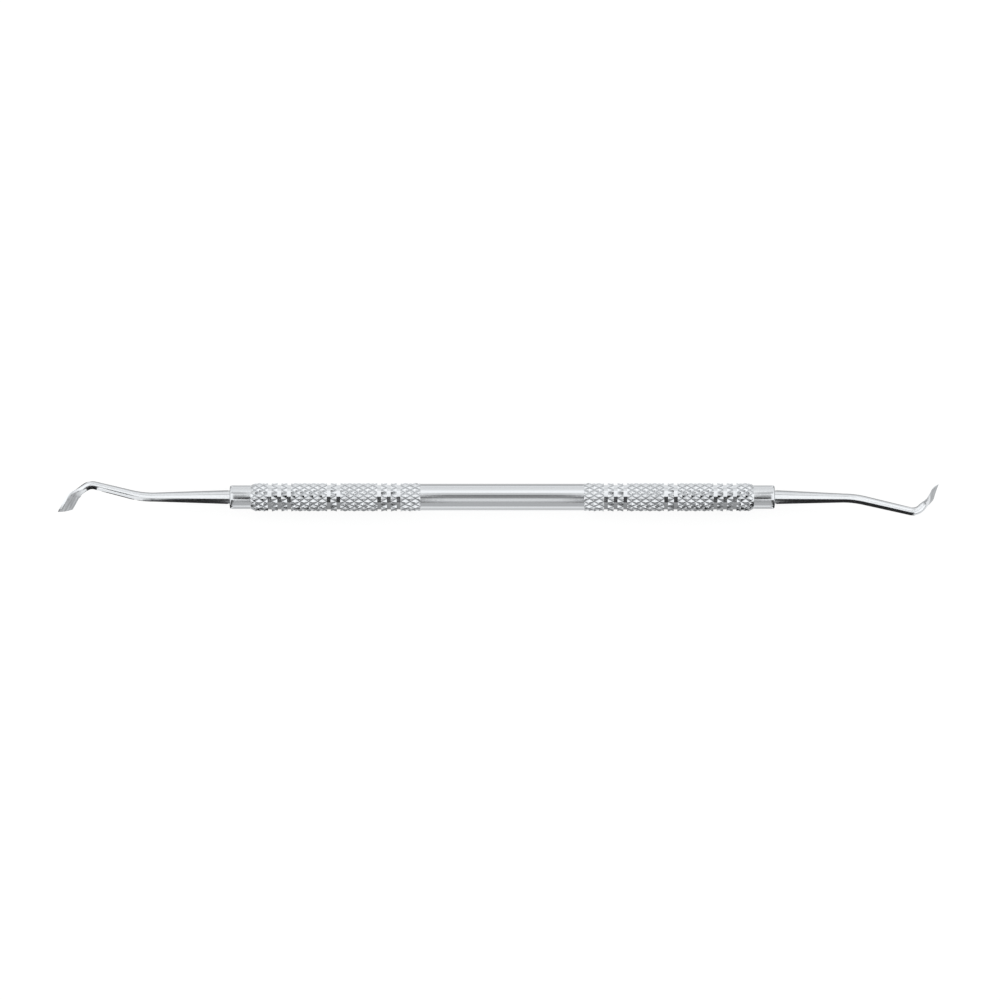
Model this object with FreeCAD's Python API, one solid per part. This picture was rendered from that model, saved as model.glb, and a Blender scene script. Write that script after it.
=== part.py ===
import FreeCAD, Part
import math
import os

# A double-ended dental carver, lying on a table.
# The handle is a turned steel bar with two diamond-knurled grips, grooved by turned rings,
# and a plain middle. A bent working end with a rhomboid blade is pressed into each end of it.
# Both working ends have the same form. Their blades are set a quarter turn apart.
# X runs along the handle from its middle, Z is up, and the table is at Z = 0.

# Handle, in millimetres and degrees
handle_length = 108.9
collar_length = 4.2
collar_radius = 2.37
collar_rounding = 0.35
plain_radius = 2.65

# Knurled grips, one between each collar and the plain middle
grip_length = 33.9
knurl_peak_radius = 2.86
knurl_depth = 0.34
knurl_pitch = 1.83
knurl_starts = 13
grip_ramp_length = 1.5
grip_inner_slope_length = 0.9

# Turned rings in each grip: a group at each end and a pair between them
ring_width = 0.75
ring_relief = 0.04
ring_spacing = 1.94
outer_rings = 3
outer_rings_at = 3.8
middle_rings = 2
middle_rings_at = 15.6
inner_rings = 3
inner_rings_at = 4.35

# Press fit of the working ends
tang_radius = 1.2
tang_length = 7.0
tang_lead_in = 0.4
press_clearance = 0.0
bore_relief = 0.5
bore_mouth_chamfer = 0.12
drill_point_angle = 118.0

# Shank and neck of a working end
shank_root_radius = 1.4
first_bend_radius = 20.0
first_bend_shank_radius = 0.9
second_bend_radius = 2.4
neck_radius = 0.8
heel_bend_radius = 3.5

# Blade
blade_width = 2.65
blade_heel_thickness = 1.05
blade_end_thickness = 0.2
blade_skew = 0.68
blade_end_bow = 0.15
blade_flare_start = 1.8
blade_edge_bevel = 0.45
blade_bevel_share = 0.35
blade_inner_share = 0.25
blade_inner_rounding = 0.15
blade_back_fullness = 0.6
quarter_turn = 90.0
right_blade_turn = 23.0
left_blade_turn = right_blade_turn + quarter_turn

# Route of each shank, hand bent, so the two differ a little.
# Angles are measured from the handle's axis, positive towards the blade's side.
right_first_bend_at = 16.0
right_lean_angle = -0.8
right_drop_length = 12.8
right_drop_angle = -13.1
right_neck_length = 3.5
right_neck_angle = 47.0
right_blade_length = 2.9
right_blade_angle = 64.0

left_first_bend_at = 17.7
left_lean_angle = 0.0
left_drop_length = 10.6
left_drop_angle = -14.0
left_neck_length = 4.1
left_neck_angle = 33.5
left_blade_length = 3.4
left_blade_angle = 63.0

# How finely the curved forms are divided
blade_step = 0.5
collar_rim_facets = 2

# Allowance for cutting tools that reach past what they cut
tool_overrun = 1.0

half_length = handle_length / 2
grip_outer_end = half_length - collar_length
grip_inner_end = grip_outer_end - grip_length
valley_radius = knurl_peak_radius - knurl_depth
half_start_angle = math.pi / knurl_starts
ring_floor_radius = valley_radius - ring_relief
# At rest the handle stands on two neighbouring rows of knurl points.
axis_height = knurl_peak_radius * math.cos(half_start_angle / 2)
bore_radius = tang_radius + press_clearance
rows = range(2 * knurl_starts)


def vector(x, y, z=0.0):
    return FreeCAD.Vector(x, y, z)


def line(start, end):
    return Part.LineSegment(start, end).toShape()


def arc(start, middle, end):
    return Part.Arc(start, middle, end).toShape()


def polygon_face(points):
    return Part.Face(Part.makePolygon(points + points[:1]))


def turned(outline):
    """A solid of revolution around the handle's axis."""
    return polygon_face(outline).revolve(vector(0, 0), vector(1, 0), 360)


def collar():
    """The stepped-down end of the handle, with a rounded rim."""
    outline = [vector(grip_outer_end, 0), vector(grip_outer_end, collar_radius)]
    centre_x = half_length - collar_rounding
    centre_radius = collar_radius - collar_rounding
    for i in range(collar_rim_facets + 1):
        around = direction(quarter_turn * (1 - i / collar_rim_facets)) * collar_rounding
        outline.append(vector(centre_x + around.x, centre_radius + around.y))
    outline.append(vector(half_length, 0))
    return turned(outline)


def ring_places():
    """Distances of the ring grooves from mid-handle, the nearest first."""
    outer = [grip_outer_end - outer_rings_at - i * ring_spacing for i in range(outer_rings)]
    middle = [grip_outer_end - middle_rings_at - i * ring_spacing for i in range(middle_rings)]
    inner = [grip_inner_end + inner_rings_at + i * ring_spacing for i in range(inner_rings)]
    return sorted(outer + middle + inner)


def lattice_columns():
    """Where the knurl's columns of points lie, each with whether a ring groove or end follows."""
    columns = []
    start = grip_inner_end
    for end in [place - ring_width / 2 for place in ring_places()] + [grip_outer_end]:
        count = max(1, round((end - start) / (knurl_pitch / 2)))
        columns += [(between(start, end, i / count), i == count) for i in range(count + 1)]
        start = end + ring_width
    return columns


def highest_radius(x):
    """The knurl's points are lower where the grip slopes down to the middle and the collar."""
    from_middle = (x - grip_inner_end) / grip_inner_slope_length
    from_collar = (grip_outer_end - x) / grip_ramp_length
    # Both slopes start a little below their neighbours' skin.
    return min(
        knurl_peak_radius,
        between(plain_radius - ring_relief, knurl_peak_radius, from_middle),
        between(collar_radius - ring_relief, knurl_peak_radius, from_collar),
    )


def hoop(x, radii):
    """A ring of points around the axis. Straight down lies midway between two of them."""
    angles = [half_start_angle * (row + 0.5) - math.pi / 2 for row in range(len(radii))]
    return [
        vector(x, radius * math.cos(angle), radius * math.sin(angle))
        for radius, angle in zip(radii, angles)
    ]


def knurl_hoop(column, x):
    """Peaks and valley crossings take turns, around the grip and along it."""
    heights = [knurl_peak_radius if (column + row) % 2 else valley_radius for row in rows]
    return hoop(x, [min(height, highest_radius(x)) for height in heights])


def knurl_facets(column, near, far):
    """The sloping facets between two columns: each cell is folded along its valley."""
    facets = []
    for row in rows:
        a, b = near[row], far[row]
        c, d = far[row - len(rows) + 1], near[row - len(rows) + 1]
        if (column + row) % 2:
            facets += [polygon_face([a, b, d]), polygon_face([b, c, d])]
        else:
            facets += [polygon_face([a, b, c]), polygon_face([a, c, d])]
    return facets


def ring_faces(near, far):
    """The two walls and the flat-faceted floor of a ring groove between two columns."""
    floor_near = hoop(near[0].x, [ring_floor_radius for row in rows])
    floor_far = hoop(far[0].x, [ring_floor_radius for row in rows])
    faces = polygon_face(near).cut(polygon_face(floor_near)).Faces
    faces += polygon_face(far).cut(polygon_face(floor_far)).Faces
    for row in rows:
        faces.append(polygon_face([
            floor_near[row - 1], floor_far[row - 1], floor_far[row], floor_near[row],
        ]))
    return faces


def knurled_grip():
    """The right grip as one closed solid."""
    columns = lattice_columns()
    hoops = [knurl_hoop(column, x) for column, (x, ends_land) in enumerate(columns)]
    faces = [polygon_face(hoops[0]), polygon_face(hoops[-1])]
    for column, (near, far) in enumerate(zip(hoops, hoops[1:])):
        x, ends_land = columns[column]
        if ends_land:
            faces += ring_faces(near, far)
        else:
            faces += knurl_facets(column, near, far)
    shell = Part.Compound(faces)
    shell.sewShape()
    return Part.Solid(shell.Shells[0])


def bore_tool():
    """The drilled bore in the right collar: mouth chamfer, straight wall and drill point."""
    depth = tang_length + bore_relief
    point_length = bore_radius / math.tan(math.radians(drill_point_angle / 2))
    bottom = half_length - depth
    mouth = bore_radius + bore_mouth_chamfer
    return turned([
        vector(bottom - point_length, 0),
        vector(bottom, bore_radius),
        vector(half_length - bore_mouth_chamfer, bore_radius),
        vector(half_length, mouth),
        vector(half_length + tool_overrun, mouth),
        vector(half_length + tool_overrun, 0),
    ])


def both_sides(shape):
    """The shape and its mirror image at the handle's other end."""
    return [shape, shape.mirror(vector(0, 0), vector(1, 0))]


def make_handle():
    start = vector(-grip_inner_end, 0)
    middle = Part.makeCylinder(plain_radius, 2 * grip_inner_end, start, vector(1, 0))
    handle = middle.fuse(both_sides(knurled_grip()) + both_sides(collar()))
    handle = handle.cut(both_sides(bore_tool()))
    handle.translate(vector(0, 0, axis_height))
    return handle


def direction(angle):
    return vector(math.cos(math.radians(angle)), math.sin(math.radians(angle)))


def bent_route(lengths, angles, bend_radii):
    """Straight runs from the collar's face, joined by tangent arcs at the bends."""
    corners = [vector(0, 0)]
    for length, angle in zip(lengths, angles):
        corners.append(corners[-1] + direction(angle) * length)
    edges = []
    start = corners[0]
    for i, radius in enumerate(bend_radii):
        half_turn = math.radians(angles[i + 1] - angles[i]) / 2
        reach = radius * math.tan(abs(half_turn))
        corner = corners[i + 1]
        bend_start = corner - direction(angles[i]) * reach
        bend_end = corner + direction(angles[i + 1]) * reach
        inward = direction(angles[i + 1]) - direction(angles[i])
        inward.normalize()
        middle = corner + inward * (radius / math.cos(half_turn) - radius)
        edges.append(line(start, bend_start))
        edges.append(arc(bend_start, middle, bend_end))
        start = bend_end
    edges.append(line(start, corners[-1]))
    return edges


def along_route(edges, distance):
    """The point and the unit tangent at a distance along the route."""
    for edge in edges:
        if distance <= edge.Length or edge is edges[-1]:
            parameter = edge.getParameterByLength(min(distance, edge.Length))
            return edge.valueAt(parameter), edge.tangentAt(parameter)
        distance -= edge.Length


def section_axes(tangent, turn, skew):
    """The blade's width direction and face direction at a point of the route."""
    sideways = vector(tangent.y, -tangent.x)
    up = vector(0, 0, 1)
    cosine = math.cos(math.radians(turn))
    sine = math.sin(math.radians(turn))
    across = sideways * sine - up * cosine
    return across + tangent * skew, sideways * cosine + up * sine


def round_outline(radius):
    """Four cubic arcs of a circle, which match the face, bevel and two halves of the back."""
    corners = [math.radians(angle) for angle in (150, 50, 20, -90, -210)]
    arcs = []
    for start, end in zip(corners, corners[1:]):
        handle = radius * 4 / 3 * math.tan((end - start) / 4)
        a = (radius * math.cos(start), radius * math.sin(start))
        d = (radius * math.cos(end), radius * math.sin(end))
        b = (a[0] - handle * math.sin(start), a[1] + handle * math.cos(start))
        c = (d[0] + handle * math.sin(end), d[1] - handle * math.cos(end))
        arcs.append((a, b, c, d))
    return arcs


def parabola(a, pull, d):
    """A cubic that leaves one point and reaches the next as if pulled by a third."""
    b = (between(a[0], pull[0], 2 / 3), between(a[1], pull[1], 2 / 3))
    c = (between(d[0], pull[0], 2 / 3), between(d[1], pull[1], 2 / 3))
    return a, b, c, d


def blade_outline(half_width, thickness):
    """A flat face with a bevel along its outer edge, over a rounded back."""
    front = thickness / 2
    bevel_foot = front - thickness * blade_bevel_share
    inner = (-half_width, front - thickness * blade_inner_share)
    face_start = (-half_width + blade_inner_rounding, front)
    face_end = (half_width - blade_edge_bevel, front)
    outer = (half_width, bevel_foot)
    back = (0, -front)
    pull = half_width * blade_back_fullness
    return [
        parabola(inner, face_start, face_end),
        parabola(face_end, (half_width - blade_edge_bevel / 2, (front + bevel_foot) / 2), outer),
        parabola(outer, (pull, -front), back),
        parabola(back, (-pull, -front), inner),
    ]


def placed_circle(point, across, facing, outline):
    """True arcs with the same corners as a round outline."""
    edges = []
    radius = math.hypot(*outline[0][0])
    for a, b, c, d in outline:
        middle = vector(b[0] + c[0], b[1] + c[1]).normalize() * radius
        places = [point + across * x + facing * y for x, y in (a, (middle.x, middle.y), d)]
        edges.append(arc(*places))
    return Part.Wire(edges)


def section(point, tangent, turn, skew, round_part, blade_part, share):
    """A closed section, partly round and partly blade, placed across the route."""
    across, facing = section_axes(tangent, turn, skew)
    if share == 0:
        return placed_circle(point, across, facing, round_part)
    edges = []
    for round_curve, blade_curve in zip(round_part, blade_part):
        poles = []
        for first, second in zip(round_curve, blade_curve):
            width = between(first[0], second[0], share)
            height = between(first[1], second[1], share)
            poles.append(point + across * width + facing * height)
        curve = Part.BezierCurve()
        curve.setPoles(poles)
        edges.append(curve.toShape())
    return Part.Wire(edges)


def between(start, end, share):
    return start + (end - start) * share


def eased(share):
    """Zero to one with a soft start and a soft end."""
    share = max(0.0, min(share, 1.0))
    return share * share * (3 - 2 * share)


def spread(start, end, step):
    """Distances from the start to the end, evenly spaced, no more than a step apart."""
    count = math.ceil((end - start) / step)
    return [between(start, end, i / count) for i in range(count + 1)]


def run_and_bend(run, bend, start_radius, end_radius):
    """A tapered run of the shank and the even bend after it."""
    start, corner = run.valueAt(run.FirstParameter), run.valueAt(run.LastParameter)
    along = corner - start
    cone = Part.makeCone(start_radius, end_radius, run.Length, start, along)
    centre = bend.Curve.Center
    rod = Part.Face(Part.Wire(Part.makeCircle(end_radius, corner, along)))
    turning = (corner - centre).cross(along)
    bent = rod.revolve(centre, turning, math.degrees(bend.Length / bend.Curve.Radius))
    return [cone, bent]


def make_blade(route, neck_at, heel_at, turn):
    """The neck, which flattens and widens through the heel bend, and the straight blade."""
    total = sum(edge.Length for edge in route)
    straight_at = total - route[-1].Length
    flare_at = heel_at - blade_flare_start
    sections = []
    for distance in spread(neck_at, straight_at, blade_step) + [total]:
        point, tangent = along_route(route, distance)
        flattened = eased((distance - neck_at) / (heel_at - neck_at))
        skewed = eased((distance - neck_at) / (straight_at - neck_at))
        flared = eased((distance - flare_at) / (straight_at - flare_at))
        half_width = between(neck_radius, blade_width / 2, flared)
        along_blade = max(0.0, distance - heel_at) / (total - heel_at)
        thickness = between(blade_heel_thickness, blade_end_thickness, along_blade)
        sections.append(section(
            point, tangent, turn, blade_skew * skewed,
            round_outline(neck_radius), blade_outline(half_width, thickness), flattened,
        ))
    neck = Part.makeLoft(sections[:-1], True, False)
    straight = Part.makeLoft(sections[-2:], True, True)
    end, tangent = along_route(route, total)
    return [neck, straight.cut(end_tool(end, tangent, turn))]


def make_working_end(lengths, angles, turn):
    """A working end in its own frame: the collar's face is at X = 0."""
    lengths = lengths[:-1] + (lengths[-1] + blade_end_bow,)
    route = bent_route(lengths, angles, (first_bend_radius, second_bend_radius, heel_bend_radius))
    first_run, first_bend, second_run, second_bend = route[:4]
    neck_at = sum(edge.Length for edge in route[:4])
    heel_at = sum(edge.Length for edge in route) - lengths[-1]
    body = run_and_bend(first_run, first_bend, shank_root_radius, first_bend_shank_radius)
    body += run_and_bend(second_run, second_bend, first_bend_shank_radius, neck_radius)
    return tang().fuse(body + make_blade(route, neck_at, heel_at, turn))


def end_tool(end, tangent, turn):
    """What is ground off the blade to bow its cutting end."""
    across, facing = section_axes(tangent, turn, blade_skew)
    edge_length = blade_width * across.Length
    along_edge = across.normalize()
    inward = facing.cross(along_edge)
    if inward.dot(tangent) > 0:
        inward = inward * -1
    below = end - facing * blade_width
    depth = 2 * blade_width
    deep = below + inward * (2 * blade_end_bow)
    outside = below - inward * tool_overrun
    corners = [
        deep - along_edge * edge_length,
        deep + along_edge * edge_length,
        outside + along_edge * edge_length,
        outside - along_edge * edge_length,
    ]
    block = polygon_face(corners).extrude(facing * depth)
    # The bow is an arc over the whole cutting edge.
    radius = edge_length ** 2 / (8 * blade_end_bow) + blade_end_bow / 2
    return block.cut(Part.makeCylinder(radius, depth, below + inward * radius, facing))


def tang():
    return turned([
        vector(-tang_length, 0),
        vector(-tang_length, tang_radius - tang_lead_in),
        vector(-tang_length + tang_lead_in, tang_radius),
        vector(0, tang_radius),
        vector(0, 0),
    ])


def make_right_working_end():
    shape = make_working_end(
        (right_first_bend_at, right_drop_length, right_neck_length, right_blade_length),
        (right_lean_angle, right_drop_angle, right_neck_angle, right_blade_angle),
        right_blade_turn,
    )
    shape.translate(vector(half_length, 0, axis_height))
    return shape


def make_left_working_end():
    shape = make_working_end(
        (left_first_bend_at, left_drop_length, left_neck_length, left_blade_length),
        (left_lean_angle, left_drop_angle, left_neck_angle, left_blade_angle),
        left_blade_turn,
    )
    shape.translate(vector(half_length, 0, axis_height))
    shape.rotate(vector(0, 0), vector(0, 0, 1), 180)
    return shape


pieces = {
    "handle": make_handle(),
    "right_working_end": make_right_working_end(),
    "left_working_end": make_left_working_end(),
}

os.makedirs("parts", exist_ok=True)
for name, piece in pieces.items():
    box = piece.BoundBox
    print(name, "valid", piece.isValid(), "solids", len(piece.Solids), "faces", len(piece.Faces))
    print("  X %.2f to %.2f" % (box.XMin, box.XMax), "Y %.2f to %.2f" % (box.YMin, box.YMax))
    print("  Z %.2f to %.2f" % (box.ZMin, box.ZMax), "volume %.2f" % piece.Volume)
    piece.exportStep("parts/" + name + ".step")
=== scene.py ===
# %% [markdown]
# # A double-ended dental carver
# A turned steel handle with two diamond-knurled grips and a plain middle, and a bent working end
# with a small rhomboid blade pressed into each end of it.
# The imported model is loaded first. It gives the true sizes and places, and every piece made
# below keeps to them.

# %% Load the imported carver
import math

import bpy
import numpy as np
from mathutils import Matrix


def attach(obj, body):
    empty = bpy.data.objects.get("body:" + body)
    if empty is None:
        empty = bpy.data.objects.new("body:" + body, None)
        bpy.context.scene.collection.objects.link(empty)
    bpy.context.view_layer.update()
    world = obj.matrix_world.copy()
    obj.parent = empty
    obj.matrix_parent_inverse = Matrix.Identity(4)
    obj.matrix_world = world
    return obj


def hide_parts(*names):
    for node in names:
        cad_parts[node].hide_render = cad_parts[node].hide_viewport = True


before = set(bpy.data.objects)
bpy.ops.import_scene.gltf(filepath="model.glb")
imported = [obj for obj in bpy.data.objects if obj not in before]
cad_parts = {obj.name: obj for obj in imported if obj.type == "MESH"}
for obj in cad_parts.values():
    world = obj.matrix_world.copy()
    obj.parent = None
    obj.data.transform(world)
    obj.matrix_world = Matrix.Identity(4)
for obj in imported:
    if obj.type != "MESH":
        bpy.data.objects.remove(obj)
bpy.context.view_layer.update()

millimetre = 0.001
print("packed pieces:", sorted(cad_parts))

# %% [markdown]
# ## Camera
# The carver lies on a table and is seen from straight above, with its handle across the picture.
# A long lens from high up shows it almost without perspective.
# The lens follows from the width of table that the picture takes in.

# %% Camera
picture_width = 0.2
camera_height = 1.2
film_width = 36.0
picture_centre = (-0.00045, -0.00058)

bpy.ops.object.select_all(action="DESELECT")
bpy.ops.object.camera_add(location=(*picture_centre, camera_height), rotation=(0, 0, 0))
camera = bpy.context.object
camera.name = "overhead_camera"
camera.data.sensor_width = film_width
axis_height = 0.00286 * math.cos(math.pi / 26)
camera.data.lens = film_width * (camera_height - axis_height) / picture_width
camera.data.clip_end = 20
bpy.context.scene.camera = camera
print("lens of %.0f mm" % camera.data.lens)

# %% [markdown]
# ## Shader sums as plain Python
# A finish is a small net of nodes. Wiring each Math node by hand hides what is worked out, so a
# node's output is wrapped in a class that knows +, - and *: an expression on it adds the Math
# nodes. Every other node comes from one method, which takes its kind, its settings and the
# values or links of its sockets.

# %% Node helpers
class Signal:
    """One output of a node. Sums with it add Math nodes."""

    def __init__(self, finish, socket):
        self.finish = finish
        self.socket = socket

    def maths(self, operation, first, second):
        return self.finish.node("ShaderNodeMath", {"operation": operation}, {0: first, 1: second})

    def __add__(self, other):
        return self.maths("ADD", self, other)

    def __sub__(self, other):
        return self.maths("SUBTRACT", self, other)

    def __rsub__(self, other):
        return self.maths("SUBTRACT", other, self)

    def __mul__(self, other):
        return self.maths("MULTIPLY", self, other)

    __radd__ = __add__
    __rmul__ = __mul__


class Finish:
    """A node material in the making."""

    def __init__(self, name):
        self.material = bpy.data.materials.new(name)
        self.material.use_nodes = True
        self.tree = self.material.node_tree
        self.surface = self.tree.nodes["Principled BSDF"]

    def node(self, kind, settings, inputs, output=0):
        made = self.tree.nodes.new(kind)
        for name, value in settings.items():
            setattr(made, name, value)
        for key, value in inputs.items():
            self.feed(made.inputs[key], value)
        return Signal(self, made.outputs[output])

    def feed(self, socket, value):
        if isinstance(value, Signal):
            self.tree.links.new(value.socket, socket)
        else:
            socket.default_value = value

    def colour_between(self, first, second, share):
        inputs = {0: share, 6: first, 7: second}
        return self.node("ShaderNodeMix", {"data_type": "RGBA"}, inputs, 2)

    def place_on_piece(self):
        return self.node("ShaderNodeTexCoord", {}, {}, "Object")

    def painted(self, name):
        return self.node("ShaderNodeAttribute", {"attribute_name": name}, {}, "Fac")

    def noise(self, vector, per_millimetre, turn=(0, 0, 0), detail=2.0):
        """Noise with a number of spots to the millimetre along each axis, after a turn."""
        scale = tuple(spots / millimetre for spots in per_millimetre)
        turned = self.node("ShaderNodeMapping", {}, {0: vector, "Rotation": turn})
        stretched = self.node("ShaderNodeMapping", {}, {0: turned, "Scale": scale})
        return self.node("ShaderNodeTexNoise", {}, {0: stretched, "Scale": 1, "Detail": detail})

    def bump(self, height, depth):
        """Bump whose height runs from 0 to 1 over a depth in metres."""
        inputs = {"Height": height, "Distance": depth, "Strength": 1.0}
        return self.node("ShaderNodeBump", {}, inputs)

    def clamp(self, value, low, high):
        """0 at low, 1 at high, and a straight line between them."""
        inputs = {"Value": value, "From Min": low, "From Max": high}
        return self.node("ShaderNodeMapRange", {"clamp": True}, inputs)

    def finish(self, **sockets):
        for name, value in sockets.items():
            self.feed(self.surface.inputs[name.replace("_", " ")], value)
        return self.material


# %% [markdown]
# ## The table and the light
# The table is plain and white. Most of its whiteness is its own, seen by the camera and in the
# steel, and the rest is lit by the lamps, so that the carver keeps a soft shadow.
# The lamps are long soft boxes. A lamp's power is worked out from the brightness that the steel
# is to show of it.

# %% Table
table_lit_share = 0.3
table_over_white = 0.12

bpy.ops.object.select_all(action="DESELECT")
bpy.ops.mesh.primitive_plane_add(size=8, location=(0, 0, 0))
table = bpy.context.object
table.name = "table"

white = Finish("white_table")
rays = white.tree.nodes.new("ShaderNodeLightPath")
seen = Signal(white, rays.outputs["Is Camera Ray"]) + Signal(white, rays.outputs["Is Glossy Ray"])
seen = seen + Signal(white, rays.outputs["Is Transmission Ray"])
table.data.materials.append(white.finish(
    Base_Color=(table_lit_share, table_lit_share, table_lit_share, 1),
    Roughness=1.0,
    Specular_IOR_Level=0.0,
    Emission_Color=(1, 1, 1, 1),
    Emission_Strength=seen * (1 - table_lit_share + table_over_white),
))
print("table lit for %.0f%% of its white" % (100 * table_lit_share))

# %% Room
room_level = 0.6

world = bpy.data.worlds.new("room")
bpy.context.scene.world = world
world.use_nodes = True
background = world.node_tree.nodes["Background"]
rays = world.node_tree.nodes.new("ShaderNodeLightPath")
lighter = world.node_tree.nodes.new("ShaderNodeMapRange")
lighter.inputs["To Min"].default_value = room_level
lighter.inputs["To Max"].default_value = 1.0
world.node_tree.links.new(rays.outputs["Is Camera Ray"], lighter.inputs["Value"])
world.node_tree.links.new(lighter.outputs[0], background.inputs["Strength"])
background.inputs["Color"].default_value = (1, 1, 1, 1)
print("room level", room_level)


# %% Soft boxes
def soft_box(name, lowest, highest, level, length=2.4, distance=1.0):
    """A long lamp along X, between two angles from straight up, positive towards +Y."""
    middle = math.radians((lowest + highest) / 2)
    width = 2 * distance * math.tan(math.radians((highest - lowest) / 2))
    place = (0, distance * math.sin(middle), distance * math.cos(middle))
    bpy.ops.object.select_all(action="DESELECT")
    bpy.ops.object.light_add(type="AREA", location=place, rotation=(-middle, 0, 0))
    lamp = bpy.context.object
    lamp.name = name
    lamp.data.shape = "RECTANGLE"
    lamp.data.size = length
    lamp.data.size_y = width
    lamp.data.energy = level * math.pi * length * width
    lamp.visible_camera = False
    print("%s, %.2f m wide, %.2f W" % (name, width, lamp.data.energy))
    return lamp


soft_box("high_soft_box", 22, 37, 0.2)
soft_box("key_soft_box", 37, 60, 0.75)
soft_box("low_soft_box", 60, 86, 0.45)
soft_box("fill_soft_box", -37, -14, 0.35)


# %% [markdown]
# ## Cards
# Polished steel shows nothing but its surroundings, so a photographer of metal holds white, grey
# and black cards round it, and places each by the band that it draws on the steel.
# A camera looking straight down sees, in a rod's flank, a card as far from straight up as twice
# the flank's own tilt. So cards above the work are given by two such angles, positive towards
# +Y, and by the length of steel that is to show them. Where the flank turns down, it shows the
# table, and there the cards lie flat. Only reflections see the cards: no light is lost to them.

# %% Card helpers
def card(name, level, corners):
    """A flat card that only the steel sees, as bright as its level."""
    bpy.ops.object.select_all(action="DESELECT")
    bpy.ops.mesh.primitive_plane_add(size=1)
    made = bpy.context.object
    made.name = name
    for vertex, corner in zip(made.data.vertices, corners):
        vertex.co = corner
    paper = Finish(name + "_paper")
    made.data.materials.append(paper.finish(
        Base_Color=(0.0, 0.0, 0.0, 1), Roughness=1.0, Specular_IOR_Level=0.0,
        Emission_Color=(1, 1, 1, 1), Emission_Strength=level,
    ))
    made.visible_camera = False
    made.visible_shadow = False
    made.visible_diffuse = False
    return made


def overhead_card(name, level, start, end, lowest, highest, height=0.12):
    """A card above the work, over the length of steel that shows it to the camera."""
    outwards = (camera_height + height) / camera_height
    near = height * math.tan(math.radians(lowest))
    far = height * math.tan(math.radians(highest))
    start, end = start * outwards, end * outwards
    return card(name, level, [
        (start, near, height), (end, near, height), (start, far, height), (end, far, height),
    ])


just_off_table = 0.0002


def lying_card(name, level, start, end, nearest, farthest):
    """A card on the table. nearest is how far towards +Y it begins, at its start and its end."""
    return card(name, level, [
        (start, nearest[0], just_off_table), (end, nearest[1], just_off_table),
        (start, farthest, just_off_table), (end, farthest, just_off_table),
    ])


def standing_card(name, level, start, end, distance, height):
    """A card on its edge beside the work."""
    return card(name, level, [
        (start, distance, 0.0), (end, distance, 0.0),
        (start, distance, height), (end, distance, height),
    ])


def flat_card(name, level, corners, height=just_off_table):
    """A small card of any outline that lies flat, its corners in millimetres."""
    return card(name, level, [(x * millimetre, y * millimetre, height) for x, y in corners])


# %% Cards for the plain middle
middle = (-0.0164, 0.0164)
overhead_card("grey_over_middle", 0.34, *middle, -7, 9)
overhead_card("dark_over_middle", 0.22, *middle, 9, 17)
lying_card("grey_behind_middle", 0.64, *middle, (0.0, 0.0), 0.012)
lying_card("grey_before_middle", 0.78, *middle, (0.0, 0.0), -0.012)

# %% Cards for the grips: dark over the near half, white over the far one
for side, name in ((-1, "left_grip"), (1, "right_grip")):
    grip = sorted((side * 0.0170, side * 0.0500))
    beyond = sorted((side * 0.095, side * 0.34))
    dark_side = sorted((side * 0.0185, side * 0.0490))
    overhead_card("dark_over_" + name, 0.07, *grip, -52, 3)
    overhead_card("white_over_" + name, 1.3, *grip, 5, 38)
    # The knurl's facets lean along the handle, so they show what hangs beyond its ends.
    overhead_card("white_beyond_" + name, 1.4, *beyond, -60, 42, height=0.2)
    standing_card("dark_beside_" + name, 0.4, *dark_side, -0.03, 0.022)
    lying_card("dark_before_" + name, 0.36, *dark_side, (-0.001, -0.001), -0.03)

# %% Cards for the collars: greys, and the thin dark line along each
for side, name in ((-1, "left_collar"), (1, "right_collar")):
    collar = sorted((side * 0.0505, side * 0.0543))
    overhead_card("dark_line_over_" + name, 0.0, *collar, -15, -4, height=0.03)
    overhead_card("grey_over_" + name, 0.42, *collar, -4, 14, height=0.03)
    overhead_card("light_over_" + name, 0.68, *collar, 24, 44, height=0.03)
    lying_card("grey_behind_" + name, 0.8, *collar, (0.0, 0.0), 0.012)
    lying_card("grey_before_" + name, 0.68, *collar, (0.0, 0.0), -0.012)

# %% Cards for the shanks: white above, grey behind, black beside and under
for side, name in ((-1, "left_shank"), (1, "right_shank")):
    shank = sorted((side * 0.0546, side * 0.083))
    behind = sorted((side * 0.0550, side * 0.0830))
    overhead_card("white_over_" + name, 1.3, *shank, -24, 34)
    overhead_card("grey_over_" + name, 0.74, *shank, 36, 56)
    # The left shank's black band ends at its first bend, the right one's at its second.
    if side > 0:
        beside, under = (0.0572, 0.0866), (0.0550, 0.0830)
        near_behind = near_under = (0.0, -0.0029)
    else:
        beside, under = (-0.0725, -0.0572), (-0.0735, -0.0550)
        near_behind, near_under = (0.0027, 0.0), (0.0004, 0.0)
    standing_card("black_beside_" + name, 0.02, *beside, -0.03, 0.056)
    lying_card("grey_behind_" + name, 0.5, *behind, near_behind, 0.015)
    lying_card("black_under_" + name, 0.04, *under, near_under, -0.03)

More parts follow.
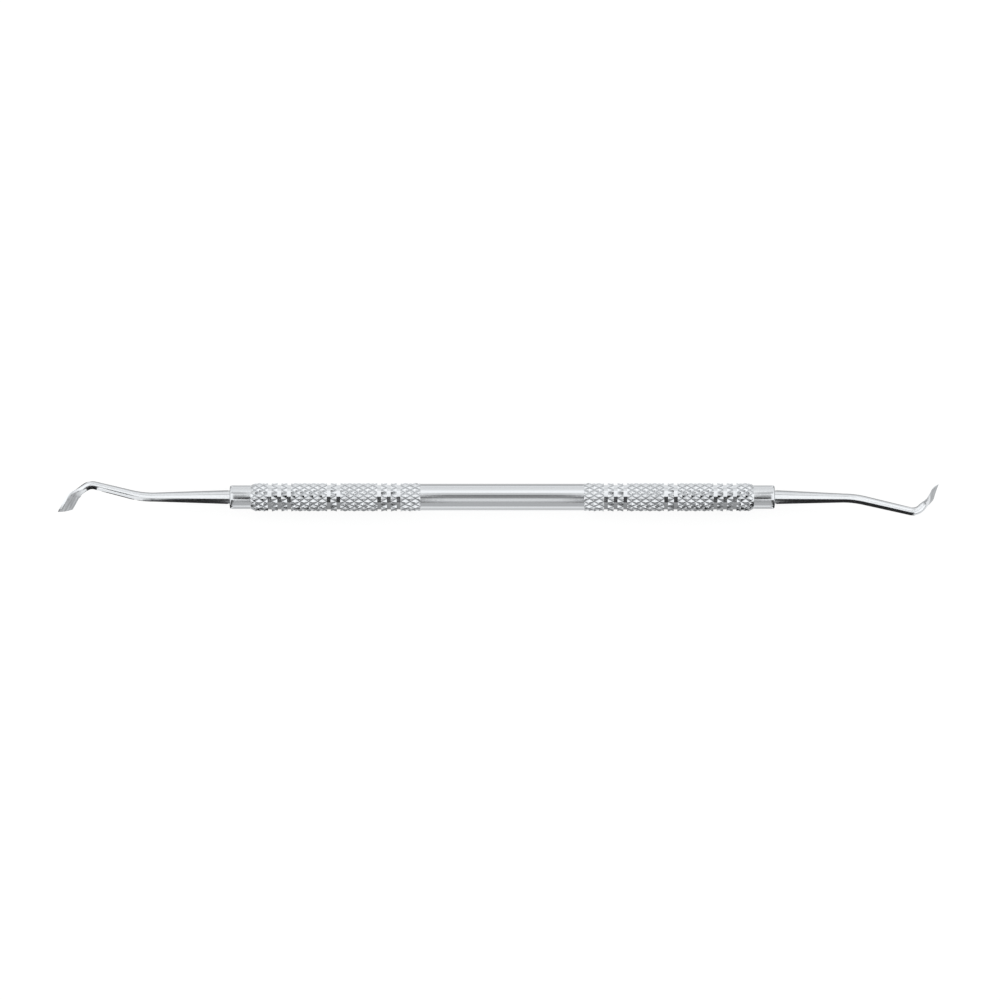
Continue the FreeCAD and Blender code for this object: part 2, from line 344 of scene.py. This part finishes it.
# %% Cards for the left end: two dark lines along its run, a white neck, a dark outer edge
flat_card("black_under_left_run", 0.02, [(-80.6, 1.9), (-73.6, 0.1), (-81.2, -7.0), (-76.0, -9.0)])
line_corners = [(-86.0, -12.0), (-78.4, -13.8), (-83.4, -1.4), (-75.8, -3.2)]
flat_card("dark_line_over_left_run", 0.0, line_corners, height=0.03)
card("white_beside_left_neck", 1.1, [
    (-0.086, -0.013, 0.0), (-0.0725, -0.0045, 0.0),
    (-0.086, -0.013, 0.022), (-0.0725, -0.0045, 0.008),
])
standing_card("black_beside_left_bend", 0.0, -0.0826, -0.0814, 0.0006, 0.012)
flat_card("dark_behind_left_neck", 0.0, [(-82.4, 3.2), (-88.6, -1.6), (-88.0, 11.5), (-97.0, 3.0)])
print("cards:", sum(made.name.endswith("_paper") for made in bpy.data.materials))

# %% [markdown]
# ## From a flat grid to a turned piece
# All three pieces are long and closed all round. A cylinder with loop cuts would do for the
# plain parts, but a knurl needs a point at every crossing of its grooves, and a blade changes
# its section along its length. So each piece starts as a flat grid: its columns become sections
# along the piece, and its rows are rolled up round it. The seam and both ends are then merged.

# %% A grid rolled into a tube
def rolled_tube(name, sections, around, place):
    """place gives the point of each section number and row number, in millimetres."""
    bpy.ops.object.select_all(action="DESELECT")
    bpy.ops.mesh.primitive_grid_add(x_subdivisions=sections - 1, y_subdivisions=around, size=1)
    tube = bpy.context.object
    tube.name = name
    tube.data.name = name
    flat = np.empty(len(tube.data.vertices) * 3)
    tube.data.vertices.foreach_get("co", flat)
    flat = flat.reshape(-1, 3)
    section = np.rint((flat[:, 0] + 0.5) * (sections - 1)).astype(int)
    row = np.rint((flat[:, 1] + 0.5) * around).astype(int) % around
    points, paint = place(section, row)
    tube.data.vertices.foreach_set("co", (points * millimetre).ravel())
    for label, values in paint.items():
        layer = tube.data.attributes.new(label, "FLOAT", "POINT")
        layer.data.foreach_set("value", values.astype(np.float32))
    return tube


def close_and_shade(piece, sharp_angle):
    """Merges the seam and the ends, turns the faces outwards and keeps sharp edges sharp."""
    bpy.ops.object.select_all(action="DESELECT")
    piece.select_set(True)
    bpy.context.view_layer.objects.active = piece
    bpy.ops.object.mode_set(mode="EDIT")
    bpy.ops.mesh.select_all(action="SELECT")
    bpy.ops.mesh.remove_doubles(threshold=1e-7)
    bpy.ops.mesh.normals_make_consistent(inside=False)
    bpy.ops.object.mode_set(mode="OBJECT")
    bpy.ops.object.shade_smooth_by_angle(angle=math.radians(sharp_angle))
    piece.data.calc_loop_triangles()
    print(piece.name, len(piece.data.loop_triangles), "triangles")


# %% [markdown]
# ## Handle
# The real handle is a steel bar turned on a lathe: collars, a plain middle, and two grips that
# a pair of wheels has knurled before the rings were turned in. A radius for each place along
# and around the bar says all of that. The turned outline comes first, then the knurl's two sets
# of grooves and the rings go in wherever they are deeper.

# %% Handle sizes
half_length = 54.45
collar_start = 50.25
collar_radius = 2.37
collar_rounding = 0.35
plain_radius = 2.65
grip_inner_end = 16.35
peak_radius = 2.86
valley_radius = 2.52
knurl_fullness = 1.06
blank_radius = 2.9
ramp_length = 1.1
end_rounding = 0.9
bore_radius = 1.2
bore_chamfer = 0.12
bore_bottom = 46.95
drill_point = 0.72

knurl_pitch = 1.83
starts = 13
rows_to_a_start = 12
around = starts * rows_to_a_start
steps_to_a_column = 6

ring_width = 0.75
ring_floor = 2.47
ring_places = [20.7, 22.64, 24.58, 32.71, 34.65, 42.57, 44.51, 46.45]

# The knurl's points lie in columns, and each ring takes the space of one column's step.
column_places = []
land_start = grip_inner_end
for land_end in [place - ring_width / 2 for place in ring_places] + [collar_start]:
    steps = max(1, round((land_end - land_start) / (knurl_pitch / 2)))
    column_places += list(np.linspace(land_start, land_end, steps + 1))
    land_start = land_end + ring_width
print(len(column_places), "columns of knurl points in each grip")


# %% Turned outline and knurl
def blank_outline(x):
    """Radius of the turned bar before knurling, at a distance from mid-handle."""
    rounded = np.clip((x - grip_inner_end) / end_rounding, 0, 1)
    swell = plain_radius + (blank_radius - plain_radius) * np.sqrt(1 - (1 - rounded) ** 2)
    ramp = (blank_radius - collar_radius) * np.clip((collar_start - x) / ramp_length, 0, 1)
    return np.minimum(swell, collar_radius + ramp)


def off_the_grooves(column, turn):
    """How far a place is from each set of grooves, 0 in a groove and 1 midway between two.
    Both arguments count half pitches."""
    one_way = np.abs((column + turn) % 2 - 1)
    other_way = np.abs((column - turn) % 2 - 1)
    return one_way, other_way


def outer_radius(x, angle):
    """Radius of the finished handle, how deep in a groove the place is, and if it is knurled."""
    column = np.interp(x, column_places, np.arange(len(column_places)))
    # The first column has its point on the second row.
    turn = (angle + math.pi / 2) / (math.pi / starts) + 0.5
    one_way, other_way = off_the_grooves(column, turn)
    height = np.clip(knurl_fullness * np.minimum(one_way, other_way), 0, 1)
    knurled = valley_radius + (peak_radius - valley_radius) * height
    radius = blank_outline(x)
    inside = (x > grip_inner_end) & (x < collar_start)
    radius = np.where(inside, np.minimum(radius, knurled), radius)
    on_knurl = inside
    for place in ring_places:
        inside_ring = np.abs(x - place) <= ring_width / 2
        radius = np.where(inside_ring, np.minimum(radius, ring_floor), radius)
        on_knurl = on_knurl & ~inside_ring
    return radius, 1 - height, on_knurl


# %% Sections of the handle
sliver = 0.006
skin = list(np.linspace(0, grip_inner_end - sliver, 12))
for start, end in zip(column_places, column_places[1:]):
    skin += list(np.linspace(start, end, steps_to_a_column + 1)[1:])
skin.append(grip_inner_end + sliver)
for place in ring_places:
    skin += [place - ring_width / 2 - sliver, place + ring_width / 2 + sliver]
skin += list(np.linspace(collar_start, half_length - collar_rounding, 8)[1:])
skin = np.array(sorted(skin))

rim_turn = np.linspace(0, math.pi / 2, 9)[1:]
rim_x = half_length - collar_rounding + collar_rounding * np.sin(rim_turn)
rim_radius = collar_radius - collar_rounding + collar_rounding * np.cos(rim_turn)
inside_x = [half_length, half_length - bore_chamfer, bore_bottom, bore_bottom - drill_point]
inside_radius = [bore_radius + bore_chamfer, bore_radius, bore_radius, 0.0]
half_x = np.concatenate([skin, rim_x, inside_x])
turned_radius = np.concatenate([np.zeros(len(skin)), rim_radius, inside_radius])
is_skin = np.arange(len(half_x)) < len(skin)
all_x = np.concatenate([-half_x[:0:-1], half_x])
all_turned = np.concatenate([turned_radius[:0:-1], turned_radius])
all_skin = np.concatenate([is_skin[:0:-1], is_skin])


def handle_points(section, row):
    x = all_x[section]
    # Rows start underneath, so the seam lies on the table's side.
    angle = 2 * math.pi * row / around - math.pi / 2
    radius, groove, on_knurl = outer_radius(np.abs(x), angle)
    radius = np.where(all_skin[section], radius, all_turned[section])
    points = np.stack([
        x, radius * np.cos(angle), radius * np.sin(angle) + axis_height / millimetre,
    ], axis=1)
    grip = np.where(on_knurl & all_skin[section], 1.0, 0.0)
    return points, {"groove": groove * grip, "grip": grip}


handle = rolled_tube("knurled_handle", len(all_x), around, handle_points)
close_and_shade(handle, 24)
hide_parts("handle")
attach(handle, "root")

# %% [markdown]
# ## Working ends
# Each working end is a thin rod, ground to a taper, bent by hand three times and flattened at
# its tip into a rhomboid blade with a bevelled edge. The rod's centre line is walked like a
# path on a map: straight ahead, round a bend, straight ahead again. A section is set across the
# path at every step, round in the shank and flat in the blade.
# The blade's face is painted on the mesh as it is made, for the satin finish and its painted shade
# further down.

# %% Sizes of the working ends
tang_radius = 1.2
tang_length = 7.0
tang_lead_in = 0.4
shank_root_radius = 1.4
first_bend_shank_radius = 0.9
neck_radius = 0.8
bend_radii = (20.0, 2.4, 3.5)
blade_width = 2.65
blade_heel_thickness = 1.05
blade_end_thickness = 0.2
blade_skew = 0.68
blade_end_bow = 0.15
blade_flare_start = 1.8
blade_edge_bevel = 0.45
blade_bevel_share = 0.35
blade_inner_share = 0.25
blade_inner_rounding = 0.15
blade_back_fullness = 0.6

right_route = ((16.0, 12.8, 3.5, 2.9), (-0.8, -13.1, 47.0, 64.0), 23.0)
left_route = ((17.7, 10.6, 4.1, 3.4), (0.0, -14.0, 33.5, 63.0), 113.0)


# %% Walking along a bent rod
def route_legs(lengths, angles):
    """Straight legs and bends in turn: the length of each, and how far it turns in radians."""
    turns = [math.radians(b - a) for a, b in zip(angles, angles[1:])]
    reaches = [r * math.tan(abs(turn) / 2) for r, turn in zip(bend_radii, turns)]
    reaches = [0] + reaches + [0]
    legs = []
    for i, length in enumerate(lengths):
        legs.append((length - reaches[i] - reaches[i + 1], 0.0))
        if i < len(turns):
            legs.append((bend_radii[i] * abs(turns[i]), turns[i]))
    return legs


def walked(legs, first_angle, distance):
    """Point and heading after a distance along the legs."""
    x, y, heading = 0.0, 0.0, math.radians(first_angle)
    for number, (length, turn) in enumerate(legs):
        last = number == len(legs) - 1
        step = distance if last else min(distance, length)
        if turn:
            chord = 2 * length / abs(turn) * math.sin(abs(turn) * step / length / 2)
            half = turn * step / length / 2
        else:
            chord, half = step, 0.0
        x += chord * math.cos(heading + half)
        y += chord * math.sin(heading + half)
        heading += 2 * half
        distance -= step
        if distance <= 0:
            break
    return x, y, heading


# %% Sections of shank and blade
def bezier(poles, share):
    """Points of a cubic curve, at shares of its way."""
    a, b, c, d = (np.array(pole)[:, None] for pole in poles)
    rest = 1 - share
    return a * rest**3 + 3 * b * rest**2 * share + 3 * c * rest * share**2 + d * share**3


def round_outline(radius):
    """A round rod's section as four curves, which the blade's four curves grow out of."""
    corners = [math.radians(angle) for angle in (150, 50, 20, -90, -210)]
    arcs = []
    for start, end in zip(corners, corners[1:]):
        pull = radius * 4 / 3 * math.tan((end - start) / 4)
        a = (radius * math.cos(start), radius * math.sin(start))
        d = (radius * math.cos(end), radius * math.sin(end))
        b = (a[0] - pull * math.sin(start), a[1] + pull * math.cos(start))
        c = (d[0] + pull * math.sin(end), d[1] - pull * math.cos(end))
        arcs.append((a, b, c, d))
    return arcs


def between(start, end, share):
    return start + (end - start) * share


def parabola(a, pull, d):
    """A simple bow from a to d, pulled towards a third point."""
    b = (between(a[0], pull[0], 2 / 3), between(a[1], pull[1], 2 / 3))
    c = (between(d[0], pull[0], 2 / 3), between(d[1], pull[1], 2 / 3))
    return a, b, c, d


def blade_outline(half_width, thickness):
    """The blade's section: face, bevelled edge, and the back in two halves."""
    front = thickness / 2
    bevel_foot = front - thickness * blade_bevel_share
    inner = (-half_width, front - thickness * blade_inner_share)
    face_start = (-half_width + blade_inner_rounding, front)
    face_end = (half_width - blade_edge_bevel, front)
    outer = (half_width, bevel_foot)
    back = (0, -front)
    pull = half_width * blade_back_fullness
    bevel_middle = (half_width - blade_edge_bevel / 2, (front + bevel_foot) / 2)
    return [
        parabola(inner, face_start, face_end),
        parabola(face_end, bevel_middle, outer),
        parabola(outer, (pull, -front), back),
        parabola(back, (-pull, -front), inner),
    ]


def eased(share):
    """A share that starts and stops gently."""
    share = max(0.0, min(share, 1.0))
    return share * share * (3 - 2 * share)


def shank_radius(distance, marks):
    """The two straight runs taper, the bends do not. marks are the ends of the first legs."""
    radii = (shank_root_radius, first_bend_shank_radius, first_bend_shank_radius, neck_radius)
    return float(np.interp(distance, marks, radii))


# %% Rings of points across the rod
points_to_a_curve = 18
curve_shares = np.linspace(0, 1, points_to_a_curve, endpoint=False)


def tang_ring(x, radius, sine, cosine):
    circle = [bezier(poles, curve_shares) for poles in round_outline(radius)]
    width, height = np.concatenate(circle, axis=1)
    return np.stack([
        np.full(len(width), x), -width * sine - height * cosine, height * sine - width * cosine,
    ], axis=1)


def flattened_section(radius, half_width, thickness, flattened):
    """Widths and heights of a section that is part round rod, part blade."""
    curves = []
    for round_part, blade_part in zip(round_outline(radius), blade_outline(half_width, thickness)):
        poles = between(np.array(round_part), np.array(blade_part), flattened)
        curves.append(bezier(poles, curve_shares))
    return np.concatenate(curves, axis=1)


# %% Where the face is satin and darkened with painted shade
satin_and_shade_full_width_at = 0.8
satin_and_shade_soft_edge = 0.12
bright_bevel_from = 0.72
bright_bevel_soft_edge = 0.06


def paint_satin_and_shade(share_of_edge, face_along, satin_and_shade, flattened):
    """1 on the wheel-ground face, darker partly from its grind and partly as painted shade. It
    widens from its first to its last edge, and spares the bevel.
    """
    front = np.arange(len(share_of_edge)) < 2 * points_to_a_curve
    satin_and_shade_from = between(*satin_and_shade, min(face_along / satin_and_shade_full_width_at, 1.0))
    painted = np.clip((share_of_edge - satin_and_shade_from) / satin_and_shade_soft_edge, 0, 1)
    painted *= np.clip((bright_bevel_from - share_of_edge) / bright_bevel_soft_edge, 0, 1)
    return np.where(front, painted * flattened ** 2, 0.0)


# %% Making a working end
def working_end(name, route, turned_round, satin_and_shade):
    """The last argument says where across the face its darker grind and painted shade begin, at
    the heel and by the end.
    """
    lengths, angles, turn = route
    lengths = lengths[:-1] + (lengths[-1] + blade_end_bow,)
    legs = route_legs(lengths, angles)
    total = sum(length for length, _ in legs)
    marks = np.cumsum([0.0] + [length for length, _ in legs])
    neck_at, straight_at = marks[4], marks[6]
    heel_at = total - lengths[-1]
    flare_at = heel_at - blade_flare_start
    sine, cosine = math.sin(math.radians(turn)), math.cos(math.radians(turn))

    tang = [
        (-tang_length, 0.0), (-tang_length, tang_radius - tang_lead_in),
        (-tang_length + tang_lead_in, tang_radius), (0.0, tang_radius),
    ]
    rings = [tang_ring(x, radius, sine, cosine) for x, radius in tang]
    ground = [0.0] * len(tang)
    on_face = [np.zeros(4 * points_to_a_curve)] * len(tang)

    stations = []
    for start, end, count in zip(marks, marks[1:], (20, 16, 16, 30, 30, 30, 24)):
        stations += list(np.linspace(start, end, count, endpoint=False))
    stations.append(total)
    for distance in stations:
        x, y, heading = walked(legs, angles[0], distance)
        tangent = np.array([math.cos(heading), math.sin(heading), 0])
        sideways = np.array([tangent[1], -tangent[0], 0])
        up = np.array([0, 0, 1])
        flattened = eased((distance - neck_at) / (heel_at - neck_at))
        skewed = eased((distance - neck_at) / (straight_at - neck_at))
        flared = eased((distance - flare_at) / (straight_at - flare_at))
        along_blade = max(0.0, distance - heel_at) / lengths[-1]
        half_width = between(neck_radius, blade_width / 2, flared)
        thickness = between(blade_heel_thickness, blade_end_thickness, along_blade)
        across = sideways * sine - up * cosine + tangent * blade_skew * skewed
        facing = sideways * cosine + up * sine
        radius = shank_radius(distance, marks[:4])
        width, height = flattened_section(radius, half_width, thickness, flattened)
        # The cutting end is ground to a bow: each point stops short of the plain end.
        share_of_edge = np.clip(width / (blade_width / 2), -1, 1)
        short = blade_end_bow * math.hypot(1, blade_skew) * share_of_edge ** 2
        short = short * (distance - heel_at)
        short = np.where(distance > heel_at, short / lengths[-1], 0.0)
        ring = np.array([x, y, 0]) + np.outer(width, across) + np.outer(height, facing)
        rings.append(ring - np.outer(short, tangent))
        ground.append(flattened)
        face_along = max(0.0, distance - flare_at) / (total - flare_at)
        on_face.append(paint_satin_and_shade(share_of_edge, face_along, satin_and_shade, flattened))
    # The last ring closes the cutting end at its middle.
    rings.append(np.repeat(rings[-1].mean(axis=0, keepdims=True), len(rings[-1]), axis=0))
    ground.append(1.0)
    on_face.append(on_face[-1] * 0)
    rings = np.array(rings)
    ground = np.array(ground)
    on_face = np.array(on_face)

    def end_points(section, row):
        points = rings[section, row] + np.array([half_length, 0, axis_height / millimetre])
        if turned_round:
            points = points * np.array([-1, -1, 1])
        return points, {"ground": ground[section], "face": on_face[section, row]}

    piece = rolled_tube(name, len(rings), 4 * points_to_a_curve, end_points)
    close_and_shade(piece, 22)
    return piece


right_end = working_end("right_carving_end", right_route, False, satin_and_shade=(0.45, -1.0))
left_end = working_end("left_carving_end", left_route, True, satin_and_shade=(-1.0, -1.0))
for piece, node in ((right_end, "right_working_end"), (left_end, "left_working_end")):
    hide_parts(node)
    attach(piece, "root")

# %% [markdown]
# ## Steel of the handle
# Turned and polished steel: faint rings left by the lathe all along it, a brighter skin on the
# points of the knurl where fingers rub, and a dull, darker colour down in its grooves, part
# residue and part painted shade where the grooves lie in shadow. The groove depth was painted on
# the mesh when it was made, so this darkening follows it exactly. The floors of the rings count as
# turned, not knurled: the tool that cut them left them bright.

# %% Handle finish
steel_colour = (0.66, 0.68, 0.70, 1)
worn_colour = (0.80, 0.82, 0.84, 1)
# The groove colour is residue and painted shade together.
residue_and_shade_colour = (0.10, 0.11, 0.12, 1)
turned_steel = Finish("turned_steel")
place = turned_steel.place_on_piece()
groove = turned_steel.painted("groove")
grip = turned_steel.painted("grip")
lathe_rings = turned_steel.noise(place, (14, 0.02, 0.02), detail=3)
smears = turned_steel.noise(place, (0.25, 1.2, 1.2), detail=3)
grain = turned_steel.noise(place, (18, 18, 18), detail=2)
# Darker down in the grooves: residue, and painted shade standing for the shadow in them.
residue_and_shade = turned_steel.clamp(groove + (grain - 0.5) * 0.35, 0.62, 1.0) * grip
wear = turned_steel.clamp(groove, 0.32, 0.0) * grip
colour = turned_steel.colour_between(steel_colour, worn_colour, wear * 0.8)
colour = turned_steel.colour_between(colour, residue_and_shade_colour, residue_and_shade * 0.5)
rough = 0.06 + lathe_rings * 0.05 + smears * 0.04 + grip * 0.02 + residue_and_shade * 0.25
scratch_depth = 2.5e-6
bumped = turned_steel.bump(lathe_rings * (1 - grip) + grain * grip * 1.5, scratch_depth)
handle.data.materials.append(turned_steel.finish(
    Base_Color=colour, Metallic=1.0, Roughness=rough, Normal=bumped,
))
print("handle finish:", turned_steel.material.name)

# %% [markdown]
# ## Steel of the working ends
# The shanks are polished along their length, with hairlines that run with the rod. The blades
# are ground on a fine wheel, which leaves a satin face with close straight lines and broader
# streaks along the blade, while their edges stay bright. The face's darker grey is partly that
# satin and partly painted shade, a darker reflection painted into its colour.

# %% Working end finish
# Grey of the blade's face: satin grind, darkened further as painted shade for a darker reflection.
satin_and_shade_colour = (0.31, 0.32, 0.33, 1)


def carving_steel(name, blade_angle):
    steel = Finish(name)
    place = steel.place_on_piece()
    ground = steel.painted("ground")
    face = steel.painted("face")
    hairlines = steel.noise(place, (0.15, 16, 16), detail=3)
    smears = steel.noise(place, (0.3, 1.5, 1.5), detail=3)
    turn = (0, 0, -math.radians(blade_angle))
    wheel_lines = steel.noise(place, (0.8, 22, 22), turn=turn, detail=3)
    streaks = steel.noise(place, (0.25, 3.0, 3.0), turn=turn, detail=2)
    colour = steel.colour_between(steel_colour, worn_colour, smears * 0.5)
    # The face is darkened: partly the satin grind, partly painted shade in place of a darker
    # reflection.
    satin_and_shade = face * steel.clamp(wheel_lines * 0.4 + streaks * 0.6, 0.8, 0.4)
    colour = steel.colour_between(colour, satin_and_shade_colour, satin_and_shade)
    rough = 0.10 + hairlines * 0.08 + smears * 0.04 + ground * wheel_lines * 0.12 + face * 0.18
    lines = hairlines * (1 - ground) + wheel_lines * ground * 2
    bumped = steel.bump(lines, scratch_depth)
    return steel.finish(Base_Color=colour, Metallic=1.0, Roughness=rough, Normal=bumped)


right_end.data.materials.append(carving_steel("right_carving_steel", right_route[1][-1]))
left_end.data.materials.append(carving_steel("left_carving_steel", left_route[1][-1]))
print("finishes:", sorted(made.name for made in bpy.data.materials if "steel" in made.name))

# %% [markdown]
# ## Colour view
# The colours are shown as written.

# %% Finish
bpy.context.scene.view_settings.view_transform = "Standard"
